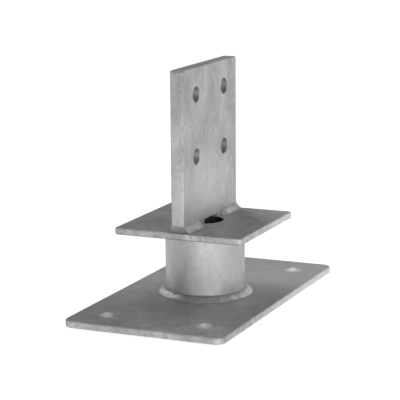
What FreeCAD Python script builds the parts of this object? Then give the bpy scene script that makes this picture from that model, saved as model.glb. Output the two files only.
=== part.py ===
"""Fixed base for a square timber post: a galvanised weldment of cut plate and round tube.

A wide base plate is anchored to concrete through four holes. A short length of round tube
stands on its middle and carries a square seat plate, which keeps the end grain of the post
clear of the ground. An upright blade, welded across the seat plate, goes into a slot sawn
in the foot of the post and takes the cross bolts.

Fillet weld beads join the pieces. The tube would be a closed chamber in the zinc bath, so
the seat plate has a vent hole under a notch in the blade, and the base plate a drain hole.

Frame: millimetres, +Z up, origin at the centre of the base plate's underside, +Y along the
base plate's long side. The blade stands in the Y-Z plane, on the tube's axis.
"""

import FreeCAD
import Part

import os

from FreeCAD import Vector

# ---- base plate ----
base_width = 125.0             # along X
base_length = 230.0            # along Y
base_thickness = 5.0
base_corner_radius = 8.0
anchor_hole_diameter = 14.0
anchor_side_margin = 24.0      # hole centre to the long edge
anchor_end_margin = 26.0       # hole centre to the short edge
drain_hole_diameter = 20.0

# ---- spacer tube ----
tube_outside_diameter = 60.3
tube_wall = 3.6
tube_height = 51.0

# ---- seat plate ----
seat_width = 102.0             # along X
seat_length = 104.0            # along Y
seat_thickness = 5.0
seat_corner_radius = 3.0
vent_hole_diameter = 28.0

# ---- blade ----
blade_thickness = 10.0         # along X
blade_width = 100.0            # along Y
blade_height = 119.0
blade_corner_radius = 1.5      # the two upper corners
bolt_hole_diameter = 12.0
bolt_column_spacing = 52.0     # between the two columns of holes, along Y
bolt_row_spacing = 46.0        # between the two rows of holes, along Z
bolt_top_margin = 20.0         # upper row to the top edge
notch_width = 25.0             # vent notch in the foot of the blade, along Y
notch_height = 3.0
notch_corner_radius = 1.5

# ---- weld beads ----
tube_weld_spread = 7.0         # leg along the plate
tube_weld_height = 4.5         # leg along the tube
tube_weld_crown = 1.2          # how far the bead stands proud of the line between its toes
blade_weld_spread = 5.0        # leg along the seat plate
blade_weld_height = 5.0        # leg up the blade
blade_weld_crown = 0.3
vent_weld_clearance = 1.0      # from the rim of the vent hole to where a bead stops

# ---- cut edges, softened by the zinc ----
edge_easing = 0.5

# ---- levels and directions ----
tube_foot_z = base_thickness
seat_underside_z = tube_foot_z + tube_height
seat_top_z = seat_underside_z + seat_thickness
blade_top_z = seat_top_z + blade_height

ACROSS = Vector(1, 0, 0)       # through the blade
ALONG = Vector(0, 1, 0)
UP = Vector(0, 0, 1)


def centred_block(size_x, size_y, size_z, level):
    """Box centred on the tube's axis, with its underside at the given level."""
    return Part.makeBox(size_x, size_y, size_z, Vector(-size_x / 2, -size_y / 2, level))


def edges_parallel_to(shape, direction):
    """Straight edges that run along direction."""
    found = []
    for edge in shape.Edges:
        run = edge.Vertexes[-1].Point - edge.Vertexes[0].Point
        if run.Length > 1e-6 and run.cross(direction).Length < 1e-6 * run.Length:
            found.append(edge)
    return found


def edges_in_faces(shape, direction):
    """Edges that lie in the two flat faces square to direction."""
    found = []
    for face in shape.Faces:
        if face.normalAt(0, 0).cross(direction).Length < 1e-6:
            found.extend(face.Edges)
    return found


def cut_plate(size_x, size_y, thickness, level, corner_radius):
    """Level plate with round corners and eased edges."""
    plate = centred_block(size_x, size_y, thickness, level)
    plate = plate.makeFillet(corner_radius, edges_parallel_to(plate, UP))
    return plate.makeChamfer(edge_easing, edges_in_faces(plate, UP))


def base_plate():
    plate = cut_plate(base_width, base_length, base_thickness, 0, base_corner_radius)
    anchor_x = base_width / 2 - anchor_side_margin
    anchor_y = base_length / 2 - anchor_end_margin
    for x in (-anchor_x, anchor_x):
        for y in (-anchor_y, anchor_y):
            centre = Vector(x, y, 0)
            plate = plate.cut(Part.makeCylinder(anchor_hole_diameter / 2, base_thickness, centre))
    return plate.cut(Part.makeCylinder(drain_hole_diameter / 2, base_thickness))


def spacer_tube():
    foot = Vector(0, 0, tube_foot_z)
    outside = Part.makeCylinder(tube_outside_diameter / 2, tube_height, foot)
    bore = Part.makeCylinder(tube_outside_diameter / 2 - tube_wall, tube_height, foot)
    return outside.cut(bore)


def seat_plate():
    plate = cut_plate(seat_width, seat_length, seat_thickness, seat_underside_z, seat_corner_radius)
    centre = Vector(0, 0, seat_underside_z)
    return plate.cut(Part.makeCylinder(vent_hole_diameter / 2, seat_thickness, centre))


def vent_notch():
    """Tool for the notch in the blade's foot: its lower half hangs below the blade."""
    notch = centred_block(2 * blade_thickness, notch_width, 2 * notch_height,
                          seat_top_z - notch_height)
    return notch.makeFillet(notch_corner_radius, edges_parallel_to(notch, ACROSS))


def blade():
    plate = centred_block(blade_thickness, blade_width, blade_height, seat_top_z)
    top_corners = [edge for edge in edges_parallel_to(plate, ACROSS)
                   if edge.CenterOfMass.z > seat_top_z + blade_height / 2]
    plate = plate.makeFillet(blade_corner_radius, top_corners)
    above_foot = [edge for edge in edges_in_faces(plate, ACROSS)
                  if edge.CenterOfMass.z > seat_top_z + edge_easing]
    plate = plate.makeChamfer(edge_easing, above_foot)
    plate = plate.cut(vent_notch())
    upper_row = blade_top_z - bolt_top_margin
    for z in (upper_row - bolt_row_spacing, upper_row):
        for y in (-bolt_column_spacing / 2, bolt_column_spacing / 2):
            entry = Vector(-blade_thickness / 2, y, z)
            plate = plate.cut(Part.makeCylinder(bolt_hole_diameter / 2, blade_thickness, entry, ACROSS))
    return plate


def bead_section(root, outward, upward, spread, height, crown):
    """Face of a convex fillet weld: a leg on each piece and a front that stands proud by crown."""
    plate_toe = root + outward * spread
    wall_toe = root + upward * height
    front = wall_toe - plate_toe
    proud = (outward * height + upward * spread).normalize() * crown
    shoulders = [plate_toe + front * share + proud for share in (0.25, 0.75)]
    return Part.Face(Part.makePolygon([root, plate_toe, *shoulders, wall_toe, root]))


def tube_weld(level, upward):
    """Ring bead round one end of the tube, laid against the plate at that level."""
    root = Vector(tube_outside_diameter / 2, 0, level)
    section = bead_section(root, ACROSS, upward, tube_weld_spread, tube_weld_height, tube_weld_crown)
    return section.revolve(Vector(0, 0, 0), UP, 360)


def blade_weld(end):
    """Bead up one side of the blade's foot, round its end edge and back down the other side.

    It starts and stops in a round nose beside the vent hole, and where it passes the end
    of the blade it is dressed flush with the end of the seat plate.
    """
    half_thickness = blade_thickness / 2
    end_y = end * blade_width / 2
    nose_y = end * (vent_hole_diameter / 2 + vent_weld_clearance + blade_weld_spread)

    def section(x, y, outward):
        return bead_section(Vector(x, y, seat_top_z), outward, UP,
                            blade_weld_spread, blade_weld_height, blade_weld_crown)

    end_root = section(-half_thickness, end_y, ALONG * end)
    bead = end_root.extrude(ACROSS * blade_thickness)
    for side in (-1, 1):
        x = side * half_thickness
        quarter_turn = 90 * side * end
        flank = section(x, nose_y, ACROSS * side).extrude(ALONG * (end_y - nose_y))
        nose = section(x, nose_y, ACROSS * side).revolve(Vector(x, nose_y, 0), UP, -quarter_turn)
        corner = section(x, end_y, ACROSS * side).revolve(Vector(x, end_y, 0), UP, quarter_turn)
        bead = bead.fuse([flank, nose, corner])
    over_seat = centred_block(seat_width, seat_length, blade_height, seat_top_z)
    return bead.common(over_seat).removeSplitter()


PIECES = {
    "base_plate": base_plate,
    "spacer_tube": spacer_tube,
    "seat_plate": seat_plate,
    "blade": blade,
    "foot_weld": lambda: tube_weld(tube_foot_z, UP),
    "head_weld": lambda: tube_weld(seat_underside_z, -UP),
    "blade_weld_front": lambda: blade_weld(-1),
    "blade_weld_rear": lambda: blade_weld(1),
}

os.makedirs("parts", exist_ok=True)
for name, make in PIECES.items():
    piece = make()
    piece.exportStep("parts/" + name + ".step")
    print(f"{name}: valid {piece.isValid()}, {len(piece.Solids)} solid, {piece.Volume / 1000:.2f} cm3")
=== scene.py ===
"""Looks of a hot-dip galvanised timber post base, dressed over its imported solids."""

import math

import bmesh
import bpy
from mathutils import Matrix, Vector, noise


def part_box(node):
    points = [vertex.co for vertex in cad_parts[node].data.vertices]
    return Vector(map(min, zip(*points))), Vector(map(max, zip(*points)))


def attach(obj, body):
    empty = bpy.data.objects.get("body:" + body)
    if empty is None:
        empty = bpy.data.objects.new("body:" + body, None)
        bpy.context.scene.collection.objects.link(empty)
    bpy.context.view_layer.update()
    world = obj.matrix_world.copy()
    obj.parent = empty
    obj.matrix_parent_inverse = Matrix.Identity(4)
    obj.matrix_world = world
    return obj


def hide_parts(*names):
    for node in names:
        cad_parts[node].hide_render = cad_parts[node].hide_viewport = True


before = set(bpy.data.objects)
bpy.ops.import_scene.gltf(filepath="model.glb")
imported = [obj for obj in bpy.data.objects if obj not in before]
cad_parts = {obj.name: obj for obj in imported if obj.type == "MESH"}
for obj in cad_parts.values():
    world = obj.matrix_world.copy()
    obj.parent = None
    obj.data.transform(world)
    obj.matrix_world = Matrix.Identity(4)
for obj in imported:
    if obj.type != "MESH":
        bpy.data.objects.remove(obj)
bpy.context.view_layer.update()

MM = 0.001
UP = Vector((0, 0, 1))


# ---------------------------------------------------------------- small helpers

def linear(hex_colour):
    """Linear RGBA of an sRGB hex colour."""
    values = [int(hex_colour[i:i + 2], 16) / 255 for i in (1, 3, 5)]
    return [v / 12.92 if v <= 0.04045 else ((v + 0.055) / 1.055) ** 2.4 for v in values] + [1.0]


def add(tree, kind, links=None, **settings):
    """Adds a node. settings name its properties; links name its inputs, by value or by socket."""
    made = tree.nodes.new(kind)
    for key, value in settings.items():
        setattr(made, key, value)
    for key, value in (links or {}).items():
        if isinstance(value, bpy.types.NodeSocket):
            tree.links.new(value, made.inputs[key])
        else:
            made.inputs[key].default_value = value
    return made


# ---------------------------------------------------------------- galvanised steel

DROSS = "#6E7072"         # small drops of dross in the coat
LEVEL_FACE_SHADE = "#6A6C6E"      # painted shade on level faces, which catch less light
BEAD_CREST_SHADE = "#A2A4A6"    # painted shade on the upper, upward-facing part of a bead
BEAD_TOE_SHADOW = "#4A4B4D"      # painted shadow along a bead's lower toe
TUBE_INSIDE_SHADE = "#454546"           # painted shade in the tube and in the holes that lead into it
RELIEF = 0.12 * MM        # height of the coat's waves and grains


def paint_pool_of_light(tree, place, colour, pale, centre, reach, strength):
    """Colour with a soft painted pool of light in the pale tone. Its centre and its reach along X, Y and Z
    are in millimetres.
    """
    spot = add(tree, "ShaderNodeMapping",
               {"Vector": place, "Location": [-c / r for c, r in zip(centre, reach)],
                "Scale": [1 / (r * MM) for r in reach]}).outputs["Vector"]
    spot = add(tree, "ShaderNodeTexGradient", {"Vector": spot}, gradient_type="SPHERICAL").outputs["Fac"]
    share = add(tree, "ShaderNodeMath", {0: spot, 1: strength}, operation="MULTIPLY",
                use_clamp=True).outputs[0]
    return add(tree, "ShaderNodeMix", {0: share, 6: colour, 7: linear(pale)},
               data_type="RGBA").outputs[2]


def shade_level_faces(tree, shape, colour, strength):
    """Colour darkened on level faces with painted shade, for the dimmer light they catch."""
    level = add(tree, "ShaderNodeSeparateXYZ", {0: shape}).outputs["Z"]
    share = add(tree, "ShaderNodeMapRange", {"Value": level, "From Min": 0.5, "From Max": 1.0,
                                             "To Max": strength}).outputs[0]
    return add(tree, "ShaderNodeMix", {0: share, 6: colour, 7: linear(LEVEL_FACE_SHADE)},
               data_type="RGBA").outputs[2]


def paint_bead_shade(tree, colour):
    """Colour with painted shade on a weld bead: darker towards its upper toe, with a painted shadow along its
    lower toe.
    """
    across = add(tree, "ShaderNodeAttribute", attribute_name="across").outputs["Fac"]
    share = add(tree, "ShaderNodeMapRange", {"Value": across, "From Min": 0.55, "From Max": 0.9,
                                             "To Max": 0.75}).outputs[0]
    colour = add(tree, "ShaderNodeMix", {0: share, 6: colour, 7: linear(BEAD_CREST_SHADE)},
                 data_type="RGBA").outputs[2]
    share = add(tree, "ShaderNodeMapRange", {"Value": across, "From Min": 0.12, "From Max": 0.0,
                                             "To Max": 0.85}).outputs[0]
    return add(tree, "ShaderNodeMix", {0: share, 6: colour, 7: linear(BEAD_TOE_SHADOW)},
               data_type="RGBA").outputs[2]


def shade_inside_tube(tree, place, colour, within):
    """Colour darkened with painted shade within so many millimetres of the tube's axis, where the bore and
    the holes into it lie in shade.
    """
    level = add(tree, "ShaderNodeMapping", {"Vector": place, "Scale": (1.0, 1.0, 0.0)}).outputs[0]
    radius = add(tree, "ShaderNodeVectorMath", {0: level}, operation="LENGTH").outputs["Value"]
    share = add(tree, "ShaderNodeMapRange", {"Value": radius, "From Min": (within + 0.3) * MM,
                                             "From Max": within * MM, "To Max": 0.94}).outputs[0]
    return add(tree, "ShaderNodeMix", {0: share, 6: colour, 7: linear(TUBE_INSIDE_SHADE)},
               data_type="RGBA").outputs[2]


def galvanised(name, dark, light, pale, blotch_mm, drawn=1.0, mottling=0.75, crystal_share=0.2,
               wear=0.7, rough_low=0.5, rough_high=0.64, painted_top_shade=0.0, shade_within=0.0,
               painted_light=None, arris=None, edge_radius=0.9, bead=False):
    """Hot-dip zinc: cloudy patches, faint crystals, fine grain, drops of dross and worn arrises.

    dark and light are the tones of the patches, and blotch_mm is their size. drawn above 1 stretches
    them along Z, as zinc runs off an upright surface. mottling, crystal_share and wear are how strong
    the small dark flecks, the crystals and the worn edges are. painted_top_shade darkens level faces with
    painted shade, for the dimmer light they catch. shade_within paints shade on what lies within that
    many millimetres of the tube's axis: its bore, the vent and the drain. patch is a soft painted pool
    of light in the pale tone: its centre, its reach along X, Y and Z in millimetres, and its strength.
    arris is the tone along the edges, pale unless it is given, and edge_radius is how far they look
    rounded. bead paints shade on a weld bead across its width: darker towards its upper toe and a
    painted shadow along its lower toe.
    """
    material = bpy.data.materials.new(name)
    material.use_nodes = True
    tree = material.node_tree
    tree.nodes.clear()
    place = add(tree, "ShaderNodeTexCoord").outputs["Object"]
    run = add(tree, "ShaderNodeMapping",
              {"Vector": place, "Scale": (1.0, 1.0, 1.0 / drawn)}).outputs["Vector"]

    # Patterns.
    cloud = add(tree, "ShaderNodeTexNoise", {"Vector": run, "Scale": 1 / (blotch_mm * MM), "Detail": 4.0,
                                             "Roughness": 0.6, "Distortion": 0.6}).outputs["Fac"]
    mottle = add(tree, "ShaderNodeTexNoise", {"Vector": place, "Scale": 1 / (3.4 * MM), "Detail": 2.0,
                                              "Roughness": 0.6}).outputs["Fac"]
    grain = add(tree, "ShaderNodeTexNoise", {"Vector": place, "Scale": 1 / (0.7 * MM),
                                             "Detail": 1.5}).outputs["Fac"]
    cells = add(tree, "ShaderNodeTexVoronoi", {"Vector": run, "Scale": 1 / (4.5 * MM)}).outputs["Color"]
    crystal = add(tree, "ShaderNodeSeparateColor", {"Color": cells}).outputs[0]
    drops = add(tree, "ShaderNodeTexVoronoi", {"Vector": place, "Scale": 1 / (8.0 * MM)}).outputs["Distance"]
    drop = add(tree, "ShaderNodeMapRange", {"Value": drops, "From Min": 0.10, "From Max": 0.05}).outputs[0]

    # Patches, crystals, flecks and drops.
    share = add(tree, "ShaderNodeMapRange", {"Value": cloud, "From Min": 0.3, "From Max": 0.7}).outputs[0]
    colour = add(tree, "ShaderNodeMix", {0: share, 6: linear(dark), 7: linear(light)},
                 data_type="RGBA").outputs[2]
    share = add(tree, "ShaderNodeMath", {0: crystal, 1: crystal_share}, operation="MULTIPLY").outputs[0]
    colour = add(tree, "ShaderNodeMix", {0: share, 6: colour, 7: linear(light)}, data_type="RGBA").outputs[2]
    share = add(tree, "ShaderNodeMapRange", {"Value": mottle, "From Min": 0.48, "From Max": 0.72,
                                             "To Max": mottling}).outputs[0]
    colour = add(tree, "ShaderNodeMix", {0: share, 6: colour, 7: linear(dark)}, data_type="RGBA").outputs[2]
    share = add(tree, "ShaderNodeMath", {0: drop, 1: 0.22}, operation="MULTIPLY").outputs[0]
    colour = add(tree, "ShaderNodeMix", {0: share, 6: colour, 7: linear(DROSS)},
                 data_type="RGBA").outputs[2]

    # Painted light: a soft pale pool where more light falls on the part.
    if painted_light:
        colour = paint_pool_of_light(tree, place, colour, pale, *painted_light)

    shape = add(tree, "ShaderNodeNewGeometry").outputs["Normal"]
    # Painted shade on level faces, which catch less light.
    if painted_top_shade:
        colour = shade_level_faces(tree, shape, colour, painted_top_shade)

    # Worn edges, in patches.
    soft = add(tree, "ShaderNodeBevel", {"Radius": edge_radius * MM}, samples=4).outputs["Normal"]
    agree = add(tree, "ShaderNodeVectorMath", {0: soft, 1: shape}, operation="DOT_PRODUCT").outputs["Value"]
    on_edge = add(tree, "ShaderNodeMapRange", {"Value": agree, "From Min": 0.99, "From Max": 0.86}).outputs[0]
    rubbed = add(tree, "ShaderNodeMapRange", {"Value": mottle, "From Min": 0.4, "From Max": 0.62,
                                              "To Max": wear}).outputs[0]
    share = add(tree, "ShaderNodeMath", {0: on_edge, 1: rubbed}, operation="MULTIPLY").outputs[0]
    colour = add(tree, "ShaderNodeMix", {0: share, 6: colour, 7: linear(arris or pale)},
                 data_type="RGBA").outputs[2]

    # Painted shade on a weld bead: its upper part and a shadow along its lower toe.
    if bead:
        colour = paint_bead_shade(tree, colour)
    # Painted shade inside the tube and in the holes that lead into it.
    if shade_within:
        colour = shade_inside_tube(tree, place, colour, shade_within)

    # Gloss and relief.
    rough = add(tree, "ShaderNodeMapRange", {"Value": mottle, "From Min": 0.3, "From Max": 0.7,
                                             "To Min": rough_low, "To Max": rough_high}).outputs[0]
    swell = add(tree, "ShaderNodeMath", {0: cloud, 1: 2.5, 2: grain}, operation="MULTIPLY_ADD").outputs[0]
    swell = add(tree, "ShaderNodeMath", {0: drop, 1: 1.2, 2: swell}, operation="MULTIPLY_ADD").outputs[0]
    bump = add(tree, "ShaderNodeBump", {"Strength": 0.35, "Distance": RELIEF, "Height": swell,
                                        "Normal": soft}).outputs["Normal"]
    shader = add(tree, "ShaderNodeBsdfPrincipled",
                 {"Base Color": colour, "Roughness": rough, "Metallic": 1.0, "Normal": bump})
    add(tree, "ShaderNodeOutputMaterial", {"Surface": shader.outputs[0]})
    return material


# Painted light and shade below: darker level faces, shade inside the tube and its holes, and soft pale pools
# of light.
base_zinc = galvanised("zinc_on_base", "#9FA1A3", "#CBCCCE", "#E4E5E6", 15.0, painted_top_shade=0.32,
                       shade_within=10.1, painted_light=((0.0, 60.0, 5.0), (170.0, 145.0, 40.0), 1.1))
seat_zinc = galvanised("zinc_on_seat", "#A3A5A7", "#CFD0D2", "#E4E5E6", 13.0, painted_top_shade=0.30,
                       shade_within=14.1, painted_light=((51.0, 45.0, 61.0), (75.0, 95.0, 30.0), 0.5))
blade_zinc = galvanised("zinc_on_blade", "#9EA0A1", "#BFC0C1", "#DEDFE0", 18.0, drawn=1.8, mottling=0.35,
                        wear=0.75, arris="#848688", painted_light=((0.0, -10.0, 80.0), (20.0, 70.0, 42.0), 0.85))
tube_zinc = galvanised("zinc_on_tube", "#B8BABC", "#D2D3D4", "#E2E3E4", 22.0, drawn=1.8,
                       mottling=0.35, crystal_share=0.1, rough_low=0.54, rough_high=0.64, shade_within=27.0)
ring_zinc = galvanised("zinc_on_ring_weld", "#AEB0B1", "#D2D3D5", "#DCDDDE", 6.0, crystal_share=0.05,
                       bead=True)
foot_zinc = galvanised("zinc_on_blade_weld", "#9A9C9E", "#B2B4B6", "#C4C5C7", 8.0, mottling=0.4,
                       crystal_share=0.05, edge_radius=0.0)

for node_name, material in (("base_plate", base_zinc), ("seat_plate", seat_zinc),
                            ("blade", blade_zinc), ("spacer_tube", tube_zinc)):
    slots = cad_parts[node_name].data.materials
    slots.clear()
    slots.append(material)


# ---------------------------------------------------------------- weld beads

RIPPLE_PITCH = 1.7 * MM
ACROSS_POINTS = 12
RING_SECTIONS = 420       # round the tube
TURN_STEPS = 10           # round each corner and nose of a blade bead
STEP_ALONG = 0.35 * MM    # along a blade bead's straight stretches
FADE_LENGTH = 8 * MM      # over which a blade bead thins out beside the vent
SINK = 0.25 * MM          # how far a bead's hidden root goes into the steel beside it


def bead_section(root, reach, rise, fullness, ripple_height, run, seed):
    """Points of one section, from the toe on the plate to the toe on the wall.

    reach and rise run from the root to the two toes. A fullness of 1 is a flat bead, above 1 a round
    one and below 1 a hollow one. run is how far along the bead the section lies, and seed gives each
    bead its own unevenness.
    """
    wander = noise.noise(Vector((run / (9 * MM), seed, 0.0)))
    power = 2 / (fullness * (1 + 0.12 * noise.noise(Vector((run / (6 * MM), seed, 7.0)))))
    normal = (reach.normalized() * rise.length + rise.normalized() * reach.length).normalized()
    points = []
    for step in range(ACROSS_POINTS):
        share = step / (ACROSS_POINTS - 1)
        angle = math.pi / 2 * share
        # Ripples are crescents: the middle of the bead lags behind its toes.
        phase = run / RIPPLE_PITCH + 0.9 * math.sin(math.pi * share) + 0.6 * wander
        ripple = ripple_height * ((phase % 1.0) - 0.5) * math.sin(math.pi * share)
        points.append(root + reach * (1 + 0.05 * wander) * math.cos(angle) ** power
                      + rise * abs(math.sin(angle)) ** power + normal * ripple)
    return points


def bead_object(name, sections, roots, closed, material):
    """Closed mesh over rings of section points, with a hidden root under each."""
    mesh = bpy.data.meshes.new(name)
    build = bmesh.new()
    across = build.verts.layers.float.new("across")
    rings = []
    for points, root in zip(sections, roots):
        ring = []
        for step, point in enumerate(points):
            vertex = build.verts.new(point)
            vertex[across] = step / (ACROSS_POINTS - 1)
            ring.append(vertex)
        hidden = build.verts.new(root)
        hidden[across] = 0.5
        rings.append(ring + [hidden])
    size = len(rings[0])
    pairs = list(zip(rings, rings[1:])) + ([(rings[-1], rings[0])] if closed else [])
    for first, second in pairs:
        for i in range(size):
            j = (i + 1) % size
            face = build.faces.new((first[i], first[j], second[j], second[i]))
            face.smooth = j < ACROSS_POINTS and j > 0
    if not closed:
        build.faces.new(rings[0])
        build.faces.new(rings[-1])
    bmesh.ops.recalc_face_normals(build, faces=build.faces)
    build.to_mesh(mesh)
    build.free()
    piece = bpy.data.objects.new(name, mesh)
    bpy.context.scene.collection.objects.link(piece)
    mesh.materials.append(material)
    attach(piece, "root")
    return piece


tube_low, tube_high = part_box("spacer_tube")
tube_radius = (tube_high.x - tube_low.x) / 2


def tube_bead(name, node, level, upward, seed):
    """Ring bead round one end of the tube."""
    low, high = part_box(node)
    spread = (high.x - low.x) / 2 - tube_radius
    height = high.z - low.z
    sections, roots = [], []
    for step in range(RING_SECTIONS):
        angle = 2 * math.pi * step / RING_SECTIONS
        outward = Vector((math.cos(angle), math.sin(angle), 0))
        swell = noise.noise(outward * 1.3 + Vector((0, 0, seed)))
        root = outward * tube_radius + Vector((0, 0, level))
        run = angle * tube_radius
        wide = spread * (0.90 + 0.05 * swell)
        sections.append(bead_section(root, outward * wide, upward * height * (0.92 + 0.08 * swell),
                                     1.35, 0.16 * MM, run, seed))
        roots.append(root - outward * SINK - upward * SINK)
    piece = bead_object(name, sections, roots, True, ring_zinc)
    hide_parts(node)


tube_bead("foot_weld_bead", "foot_weld", tube_low.z, UP, 3.0)
tube_bead("head_weld_bead", "head_weld", tube_high.z, -UP, 11.0)


blade_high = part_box("blade")[1]
seat_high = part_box("seat_plate")[1]


def blade_bead(name, node, end, seed):
    """Bead up one flank of the blade's foot, round its end and down the other flank."""
    low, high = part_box(node)
    half = blade_high.x
    spread = high.x - half
    height = high.z - low.z
    end_y = blade_high.y * end
    near_y = (low.y if end > 0 else high.y) + end * spread
    stations = []

    def fan(x, y, start, stop):
        """Stations that turn about one point."""
        for step in range(TURN_STEPS + 1):
            angle = start + (stop - start) * step / TURN_STEPS
            stations.append((Vector((x, y, 0)), Vector((math.cos(angle), math.sin(angle), 0))))

    def line(start, stop, outward):
        """Stations between two points, without the points."""
        count = max(2, round((stop - start).length / STEP_ALONG))
        for step in range(1, count):
            stations.append((start.lerp(stop, step / count), outward))

    quarter = math.pi / 2 * end
    fan(half, near_y, -quarter, 0.0)
    line(Vector((half, near_y, 0)), Vector((half, end_y, 0)), Vector((1, 0, 0)))
    fan(half, end_y, 0.0, quarter)
    line(Vector((half, end_y, 0)), Vector((-half, end_y, 0)), Vector((0, end, 0)))
    fan(-half, end_y, quarter, 2 * quarter)
    line(Vector((-half, end_y, 0)), Vector((-half, near_y, 0)), Vector((-1, 0, 0)))
    fan(-half, near_y, 2 * quarter, 3 * quarter)

    # Past the blade's end there is only a narrow ledge of the seat for the bead to sit on.
    ledge = min(spread, seat_high.y - blade_high.y - 0.15 * MM)
    sections, roots = [], []
    run = 0.0
    before = None
    for root, outward in stations:
        middle = root + outward * spread / 2
        if before is not None:
            run += (middle - before).length
        before = middle
        base = root + Vector((0, 0, seat_high.z))
        # The bead thins out over its last few millimetres, beside the vent.
        near_vent = min(1.0, abs(root.y - near_y) / FADE_LENGTH)
        size = 0.95 - 0.5 * (1 - near_vent) ** 2
        reach = Vector((outward.x * spread, outward.y * (ledge if outward.y * end > 0 else spread), 0))
        sections.append(bead_section(base, reach * size, UP * height * size, 0.78, 0.05 * MM, run, seed))
        roots.append(base - outward * SINK - UP * SINK)
    piece = bead_object(name, sections, roots, False, foot_zinc)
    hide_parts(node)


blade_bead("blade_weld_front_bead", "blade_weld_front", -1, 21.0)
blade_bead("blade_weld_rear_bead", "blade_weld_rear", 1, 29.0)


# ---------------------------------------------------------------- floor, light and camera

FLOOR_LEVEL = -0.2 * MM
FLOOR_GLOW = 0.62         # lifts the pale table to white, for the camera and for what the steel mirrors

floor_mesh = bpy.data.meshes.new("floor")
floor_corners = [(x, y, FLOOR_LEVEL) for x, y in ((-9, -9), (9, -9), (9, 9), (-9, 9))]
floor_mesh.from_pydata(floor_corners, [], [(0, 1, 2, 3)])
floor = bpy.data.objects.new("floor", floor_mesh)
bpy.context.scene.collection.objects.link(floor)
paper = bpy.data.materials.new("white_table")
paper.use_nodes = True
paper.node_tree.nodes.clear()
matt = add(paper.node_tree, "ShaderNodeBsdfDiffuse", {"Color": linear("#F4F4F4")})
rays = add(paper.node_tree, "ShaderNodeLightPath").outputs
seen = add(paper.node_tree, "ShaderNodeMath", {0: rays["Is Camera Ray"], 1: rays["Is Glossy Ray"]},
           operation="ADD").outputs[0]
seen = add(paper.node_tree, "ShaderNodeMath", {0: seen, 1: rays["Is Transmission Ray"]},
           operation="ADD", use_clamp=True).outputs[0]
share = add(paper.node_tree, "ShaderNodeMath", {0: seen, 1: FLOOR_GLOW}, operation="MULTIPLY")
glow = add(paper.node_tree, "ShaderNodeEmission", {"Color": linear("#FFFFFF"), "Strength": share.outputs[0]})
table = add(paper.node_tree, "ShaderNodeAddShader", {0: matt.outputs[0], 1: glow.outputs[0]})
add(paper.node_tree, "ShaderNodeOutputMaterial", {"Surface": table.outputs[0]})
floor_mesh.materials.append(paper)

world = bpy.data.worlds.new("dim_room")
bpy.context.scene.world = world
world.use_nodes = True
world.node_tree.nodes.clear()
room = add(world.node_tree, "ShaderNodeBackground", {"Color": linear("#FFFFFF"), "Strength": 0.10})
add(world.node_tree, "ShaderNodeOutputWorld", {"Surface": room.outputs[0]})


MIDDLE_HEIGHT = 0.08      # what the lamps aim at


def direction(azimuth, elevation):
    """Unit vector to a place seen from the object; azimuth is from -Y towards +X."""
    a, e = math.radians(azimuth), math.radians(elevation)
    return Vector((math.sin(a) * math.cos(e), -math.cos(a) * math.cos(e), math.sin(e)))


def aim(thing, towards):
    """Turns a lamp or camera so that its -Z points along towards."""
    thing.rotation_euler = towards.to_track_quat("-Z", "Y").to_euler()


def lamp(name, kind, azimuth, elevation, energy, distance=1.0, **settings):
    """Adds a lamp aimed at the middle of the part, at a distance in metres."""
    data = bpy.data.lights.new(name, kind)
    data.energy = energy
    for key, value in settings.items():
        setattr(data, key, value)
    thing = bpy.data.objects.new(name, data)
    bpy.context.scene.collection.objects.link(thing)
    thing.location = direction(azimuth, elevation) * distance + UP * MIDDLE_HEIGHT
    thing.visible_camera = False
    aim(thing, -direction(azimuth, elevation))


WIDE = math.radians(30)   # angle of each high light, which keeps its shadows soft
lamp("high_back_left", "SUN", -120, 40, 0.53, angle=WIDE)
lamp("overhead_left", "SUN", -120, 70, 0.52, angle=WIDE)
lamp("high_back_right", "SUN", 150, 40, 0.44, angle=WIDE)
lamp("back_softbox", "AREA", 165, 14, 0.9, 0.8, shape="RECTANGLE", size=0.8, size_y=0.4)
lamp("front_softbox", "AREA", -20, 6, 0.9, 1.2, shape="RECTANGLE", size=0.9, size_y=0.3)
lamp("front_right_softbox", "AREA", 30, 8, 4.6, 1.2, shape="RECTANGLE", size=0.9, size_y=0.3)
lamp("right_softbox", "AREA", 70, 8, 1.1, 0.9, shape="RECTANGLE", size=0.5, size_y=0.5)

LOOK_FROM_AZIMUTH = 23.77
LOOK_FROM_ELEVATION = 11.54
LOOK_AT = Vector((-1.44, -5.76, 77.02)) * MM
DISTANCE = 1.2480
ROLL = -0.41
LENS = 149.2

camera_data = bpy.data.cameras.new("camera")
camera_data.lens = LENS
camera_data.sensor_width = 36
camera = bpy.data.objects.new("camera", camera_data)
bpy.context.scene.collection.objects.link(camera)
outlook = direction(LOOK_FROM_AZIMUTH, LOOK_FROM_ELEVATION)
camera.location = LOOK_AT + outlook * DISTANCE
aim(camera, -outlook)
camera.rotation_euler.rotate_axis("Z", math.radians(ROLL))
bpy.context.scene.camera = camera
bpy.context.scene.view_settings.view_transform = "Standard"
